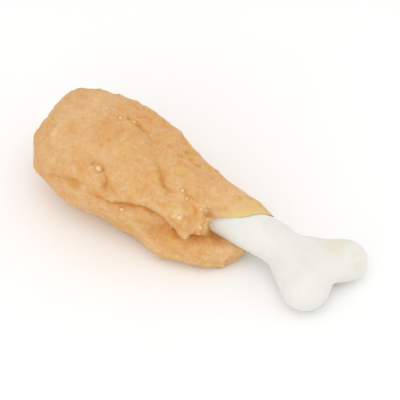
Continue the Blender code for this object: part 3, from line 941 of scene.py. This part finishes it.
def select_end(obj):
    """In edit mode, selects only the faces that look along +X at the far end."""
    bpy.ops.mesh.select_mode(type="FACE")
    bpy.ops.mesh.select_all(action="DESELECT")
    bm = bmesh.from_edit_mesh(obj.data)
    far = max(face.calc_center_median().x for face in bm.faces)
    for face in bm.faces:
        face.select_set(face.calc_center_median().x > far - 1e-4)
    bmesh.update_edit_mesh(obj.data)


def make_beads():
    tree = wad_tree()
    rng = np.random.default_rng(SEED)
    places = []
    for x, degrees, width in BEADS:
        point, normal = on_meat(tree, x, degrees)
        seat = lay_on(point - normal * BEAD_SINK * width * MM, normal, rng.uniform(0, math.tau))
        places.append(seat @ Matrix.Diagonal((width * MM, width * MM, width * MM, 1)))
    return copies(bead_pattern(), places, "gristle_beads")


def make_crumbs():
    tree = wad_tree()
    look = settings().scatter
    rng = np.random.default_rng(SEED + 2)
    places = []
    while len(places) < look.crumbs:
        x, degrees = rng.uniform(*CRUMBS_ALONG), rng.uniform(*CRUMBS_ROUND)
        width = look.crumb_size * rng.uniform(0.5, 1.0)
        point, normal = on_meat(tree, x, degrees)
        seat = lay_on(point - normal * CRUMB_SINK * width, normal, rng.uniform(0, math.tau))
        places.append(seat @ Matrix.Diagonal((width, width, width, 1)))
    crumbs = copies(crumb_pattern(), places, "meat_crumbs")
    keep_in_box(Skin(crumbs), "meat")
    return crumbs


def make_shreds():
    tree = wad_tree()
    places = []
    for x, degrees, heading, length, width in SHREDS:
        point, normal = on_meat(tree, x, degrees)
        along = Vector((1, 0, 0)) - normal * normal.x
        across = normal.cross(along.normalized())
        turn = math.radians(heading)
        ahead = along.normalized() * math.cos(turn) + across * math.sin(turn)
        side = normal.cross(ahead)
        seat = Matrix((ahead, side, normal)).transposed().to_4x4()
        seat.translation = point
        places.append(seat @ Matrix.Diagonal((length * MM, width * MM, SHRED_HEIGHT_MM * MM, 1)))
    return copies(shred_pattern(), places, "torn_shreds")


# --- The bone ---------------------------------------------------------------------------------------

# How often the remeshed bone is smoothed, and by which factor.
BONE_SMOOTHING = {"factor": 0.5, "iterations": 10}

# Sizes of the casting's broad and fine swells, and the height within which its underside is freed.
SWELL_SIZE = 7 * MM
FINE_SWELL_SIZE = 2.2 * MM
KNUCKLE_RISE = 1.0 * MM


def make_bone_piece():
    look = settings().bone
    bone = copy_of_node("bone", "moulded_bone")
    apply_modifier(bone, "REMESH", mode="VOXEL", voxel_size=look.fineness)
    apply_modifier(bone, "SMOOTH", **BONE_SMOOTHING)
    skin = Skin(bone)
    skin.free = off_the_floor(skin.points, KNUCKLE_RISE)
    skin.push(look.dent_height * (grain(skin.points, SWELL_SIZE) - 0.2))
    skin.push(0.25 * look.dent_height * grain(skin.points, FINE_SWELL_SIZE, 4.0))
    nudge(skin, BONE_NUDGES)
    keep_in_box(skin, "bone")
    skin.save_mask("stain", painted(skin, STAINS, in_metres))
    pick(bone)
    bpy.ops.object.shade_smooth()
    return bone


# --- Materials --------------------------------------------------------------------------------------


def add_node(tree, kind, inputs=None, **values):
    """Adds a node. Values are its own settings, and inputs are numbers or the sockets they come from."""
    node = tree.nodes.new(kind)
    for key, value in values.items():
        setattr(node, key, value)
    for name, value in (inputs or {}).items():
        if isinstance(value, bpy.types.NodeSocket):
            tree.links.new(value, node.inputs[name])
        else:
            node.inputs[name].default_value = value
    return node


# The Mix node's sockets for colours, by number, because its sockets for numbers share their names.
MIX_FACTOR, MIX_FIRST, MIX_SECOND, MIX_RESULT = 0, 6, 7, 2


def per_mm(size_mm):
    """The scale at which a pattern's features are a size across."""
    return 1 / (size_mm * MM)


def new_material(name):
    made = bpy.data.materials.new(name)
    made.use_nodes = True
    tree = made.node_tree
    place = add_node(tree, "ShaderNodeTexCoord").outputs["Object"]
    return made, tree, tree.nodes["Principled BSDF"], place


def lay_colours(tree, shader, place, first, layers):
    """Lays colours over a first one. A layer has a colour, how much of it there is at most, its patches'
    size in mm, where in the noise they begin and end, and the mask that it is kept to, if any."""
    colour = (*first, 1)
    for tint, most, size_mm, begin, end, mask in layers:
        inputs = {"Vector": place, "Scale": per_mm(size_mm), "Detail": 3, "Roughness": 0.6}
        patches = add_node(tree, "ShaderNodeTexNoise", inputs)
        inputs = {"Value": patches.outputs["Fac"], "From Min": begin, "From Max": end, "To Max": most}
        factor = add_node(tree, "ShaderNodeMapRange", inputs).outputs["Result"]
        if mask:
            kept_to = add_node(tree, "ShaderNodeAttribute", attribute_name=mask).outputs["Fac"]
            inputs = {0: factor, 1: kept_to}
            factor = add_node(tree, "ShaderNodeMath", inputs, operation="MULTIPLY").outputs[0]
        inputs = {MIX_FACTOR: factor, MIX_FIRST: colour, MIX_SECOND: (*tint, 1)}
        colour = add_node(tree, "ShaderNodeMix", inputs, data_type="RGBA").outputs[MIX_RESULT]
    tree.links.new(colour, shader.inputs["Base Color"])


def vary_roughness(tree, shader, place, size_mm, low, high):
    inputs = {"Vector": place, "Scale": per_mm(size_mm), "Detail": 3}
    patches = add_node(tree, "ShaderNodeTexNoise", inputs).outputs["Fac"]
    inputs = {"Value": patches, "From Min": 0.3, "From Max": 0.7, "To Min": low, "To Max": high}
    spread = add_node(tree, "ShaderNodeMapRange", inputs).outputs["Result"]
    tree.links.new(spread, shader.inputs["Roughness"])


def raise_grain(tree, shader, place, size_mm, height_mm, strength):
    inputs = {"Vector": place, "Scale": per_mm(size_mm), "Detail": 3, "Roughness": 0.65}
    grains = add_node(tree, "ShaderNodeTexNoise", inputs).outputs["Fac"]
    inputs = {"Height": grains, "Strength": strength, "Distance": height_mm * MM}
    bump = add_node(tree, "ShaderNodeBump", inputs).outputs["Normal"]
    tree.links.new(bump, shader.inputs["Normal"])


def dried_chicken_wound_and_air_dried():
    """Chicken breast wound wet and dried in warm air: matte, opaque, and pebbled where the meat has
    shrunk. The eye sees a soft mottle of pinkish beige, tan and straw, more orange and browner in the
    folds, partly its own colour and partly painted shade, pale spots that are partly painted highlights,
    and no gloss apart from a faint broken sheen on the highest points."""
    look = settings().meat
    made, tree, shader, place = new_material("dried_chicken_wound_and_air_dried")
    # Patches of paler and browner meat are 10 to 15 mm across, and the mottle in them 2 to 4 mm. The
    # grains of the meat are about 0.5 mm; they are drawn at 0.9 mm, because finer ones don't show.
    layers = (
        (look.tan, 1.0, 12.0, 0.36, 0.58, None),
        (look.straw, 0.9, 5.0, 0.46, 0.62, None),
        (look.orange, 0.65, 3.6, 0.52, 0.66, None),
        (look.pink, 0.9, 2.2, 0.50, 0.62, None),
        (look.orange, 0.5, 1.1, 0.52, 0.66, None),
        (look.pale_and_highlight, 0.5, 0.9, 0.54, 0.68, None),
        (look.pale_and_highlight, 0.6, 1.9, 0.63, 0.72, None),
        (look.brown_and_crease_shade, 0.4, 1.5, 0.64, 0.74, None),
        # Of the masked layers, the pale one is partly painted highlight, and the orange one and the last
        # one are partly painted shade in the creases, hollows and socket.
        (look.pink, 1.0, 4.0, 0.20, 0.60, "pinkish"),
        (look.pale_and_highlight, 1.0, 2.0, 0.20, 0.55, "pale_and_highlight"),
        (look.cream, 1.0, 2.0, 0.15, 0.45, "thin_rim"),
        (look.pale_and_highlight, 0.4, 1.6, 0.30, 0.60, "bulging"),
        (look.orange, 1.0, 3.0, 0.05, 0.45, "ruddy"),
        (look.brown_and_crease_shade, 1.0, 1.2, 0.10, 0.50, "brown_and_crease_shade"),
    )
    lay_colours(tree, shader, place, look.pink, layers)
    shader.inputs["IOR"].default_value = 1.45
    shader.inputs["Specular IOR Level"].default_value = 0.35
    vary_roughness(tree, shader, place, 1.4, 0.58, 0.78)
    raise_grain(tree, shader, place, 0.9, 0.22, 0.55)
    return made


def gristle_dried_hard():
    """Specks of gristle that dry harder than the meat round them: pale, slightly glossy beads."""
    look = settings().meat
    made, tree, shader, place = new_material("gristle_dried_hard")
    lay_colours(tree, shader, place, look.gristle, ((look.pink, 0.6, 0.8, 0.45, 0.70, None),))
    shader.inputs["IOR"].default_value = 1.5
    vary_roughness(tree, shader, place, 0.8, 0.38, 0.55)
    return made


def bone_moulded_from_powder():
    """Bone meal and starch pressed in a mould: chalky satin off-white, smooth to the touch, with a fine
    grain, slightly greyer patches, and a faint yellow-brown stain on the far knuckle."""
    look = settings().bone
    made, tree, shader, place = new_material("bone_moulded_from_powder")
    # The greyer patches are 9 mm across, as a hand leaves them, and the stain breaks up at 2.5 mm. The
    # grain of the powder is about 0.1 mm; it is drawn at 0.8 mm, because finer grain doesn't show.
    layers = (
        (look.shade, 1.0, 9.0, 0.40, 0.70, None),
        (look.stain, 1.0, 2.5, 0.20, 0.50, "stain"),
        (look.shade, 0.5, 0.8, 0.50, 0.72, None),
    )
    lay_colours(tree, shader, place, look.white, layers)
    shader.inputs["IOR"].default_value = 1.5
    shader.inputs["Specular IOR Level"].default_value = 0.4
    vary_roughness(tree, shader, place, 1.2, 0.42, 0.55)
    raise_grain(tree, shader, place, 0.8, 0.08, 0.3)
    return made


def studio_paper():
    """White seamless paper, uncoated: it throws light back evenly and has no gloss."""
    look = settings().studio
    made, tree, shader, place = new_material("studio_paper")
    lay_colours(tree, shader, place, look.floor, ((look.floor_shade, 0.5, 40.0, 0.4, 0.7, None),))
    shader.inputs["Roughness"].default_value = 0.9
    shader.inputs["Specular IOR Level"].default_value = 0.1
    return made


# --- Operators --------------------------------------------------------------------------------------


def finish_piece(piece, material, stands_for=None):
    piece.data.materials.clear()
    piece.data.materials.append(material)
    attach(piece, "root")
    if stands_for:
        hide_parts(stands_for)


def shared_material(make):
    return bpy.data.materials.get(make.__name__) or make()


class CHEW_OT_meat(bpy.types.Operator):
    """Shape the wad of wound meat from the solid of the same place"""

    bl_idname = "chew.meat"
    bl_label = "Wad of meat"

    def execute(self, context):
        finish_piece(make_wad(), shared_material(dried_chicken_wound_and_air_dried), "meat")
        return {"FINISHED"}


class CHEW_OT_scatter(bpy.types.Operator):
    """Put the gristle, the crumbs and the torn shreds on the wad"""

    bl_idname = "chew.scatter"
    bl_label = "Gristle, crumbs and shreds"

    def execute(self, context):
        meat = shared_material(dried_chicken_wound_and_air_dried)
        finish_piece(make_beads(), shared_material(gristle_dried_hard))
        finish_piece(make_crumbs(), meat)
        finish_piece(make_shreds(), meat)
        return {"FINISHED"}


class CHEW_OT_bone(bpy.types.Operator):
    """Shape the moulded bone from the solid of the same place"""

    bl_idname = "chew.bone"
    bl_label = "Moulded bone"

    def execute(self, context):
        finish_piece(make_bone_piece(), shared_material(bone_moulded_from_powder), "bone")
        return {"FINISHED"}


# The soft lamps: place and width in metres, and power as a share of the key light's.
LAMPS = {
    "key_lamp": ((0.10, -0.15, 0.75), 0.7, 1.0),
    "fill_lamp": ((0.60, 0.25, 0.40), 0.7, 0.3),
    "front_lamp": ((-0.05, -0.60, 0.25), 0.6, 0.4),
}

# The floor lies just below the chew, so that its face and the chew's flat spots never coincide.
FLOOR_SIZE = 6.0
FLOOR_LEVEL = -0.05 * MM


def add_lamp(name, place, size, power):
    bpy.ops.object.light_add(type="AREA", location=place)
    lamp = bpy.context.view_layer.objects.active
    lamp.name = name
    lamp.data.shape = "DISK"
    lamp.data.size = size
    lamp.data.energy = power
    lamp.rotation_euler = (-Vector(place)).to_track_quat("-Z", "Y").to_euler()


class CHEW_OT_studio(bpy.types.Operator):
    """Set up the paper floor, the soft light and the camera"""

    bl_idname = "chew.studio"
    bl_label = "Studio"

    def execute(self, context):
        look = settings().studio
        bpy.ops.mesh.primitive_plane_add(size=FLOOR_SIZE, location=(0, 0, FLOOR_LEVEL))
        floor = context.view_layer.objects.active
        floor.name = "paper_floor"
        floor.data.materials.append(studio_paper())

        world = bpy.data.worlds.new("studio_light")
        context.scene.world = world
        world.use_nodes = True
        background = world.node_tree.nodes["Background"]
        background.inputs["Color"].default_value = (1, 1, 1, 1)
        background.inputs["Strength"].default_value = look.sky
        for name, (place, size, share) in LAMPS.items():
            add_lamp(name, place, size, look.key * share)

        place, aim = Vector(look.camera_place), Vector(look.aim)
        bpy.ops.object.camera_add(location=place)
        camera = context.view_layer.objects.active
        camera.name = "camera"
        camera.data.sensor_width = 36.0
        camera.data.lens = camera.data.sensor_width / 2 / math.tan(look.view_angle / 2)
        camera.data.clip_start = 0.01
        camera.data.clip_end = 20.0
        camera.data.dof.use_dof = False
        level = (aim - place).to_track_quat("-Z", "Y").to_matrix()
        camera.rotation_euler = (level @ Matrix.Rotation(look.roll, 3, "Z")).to_euler()
        context.scene.camera = camera
        context.scene.view_settings.view_transform = "Standard"
        return {"FINISHED"}


OPERATORS = (CHEW_OT_meat, CHEW_OT_scatter, CHEW_OT_bone, CHEW_OT_studio)


class CHEW_PT_sidebar(bpy.types.Panel):
    """Lists what makes the chew, with its settings"""

    bl_label = "Drumstick chew"
    bl_idname = "CHEW_PT_sidebar"
    bl_space_type = "VIEW_3D"
    bl_region_type = "UI"
    bl_category = "Chew"

    def draw(self, context):
        look = context.scene.chew
        for group in (look.meat, look.scatter, look.bone, look.studio):
            box = self.layout.box()
            for name in group.bl_rna.properties.keys():
                if name not in ("rna_type", "name"):
                    box.prop(group, name)
        for operator in OPERATORS:
            self.layout.operator(operator.bl_idname)


GROUPS = (MeatSettings, ScatterSettings, BoneSettings, StudioSettings, ChewSettings)


def register():
    for made in (*GROUPS, *OPERATORS, CHEW_PT_sidebar):
        bpy.utils.register_class(made)
    bpy.types.Scene.chew = PointerProperty(type=ChewSettings)


def unregister():
    del bpy.types.Scene.chew
    for made in reversed((*GROUPS, *OPERATORS, CHEW_PT_sidebar)):
        bpy.utils.unregister_class(made)


def main():
    register()
    bpy.ops.chew.meat()
    bpy.ops.chew.scatter()
    bpy.ops.chew.bone()
    bpy.ops.chew.studio()


if __name__ == "__main__":
    main()
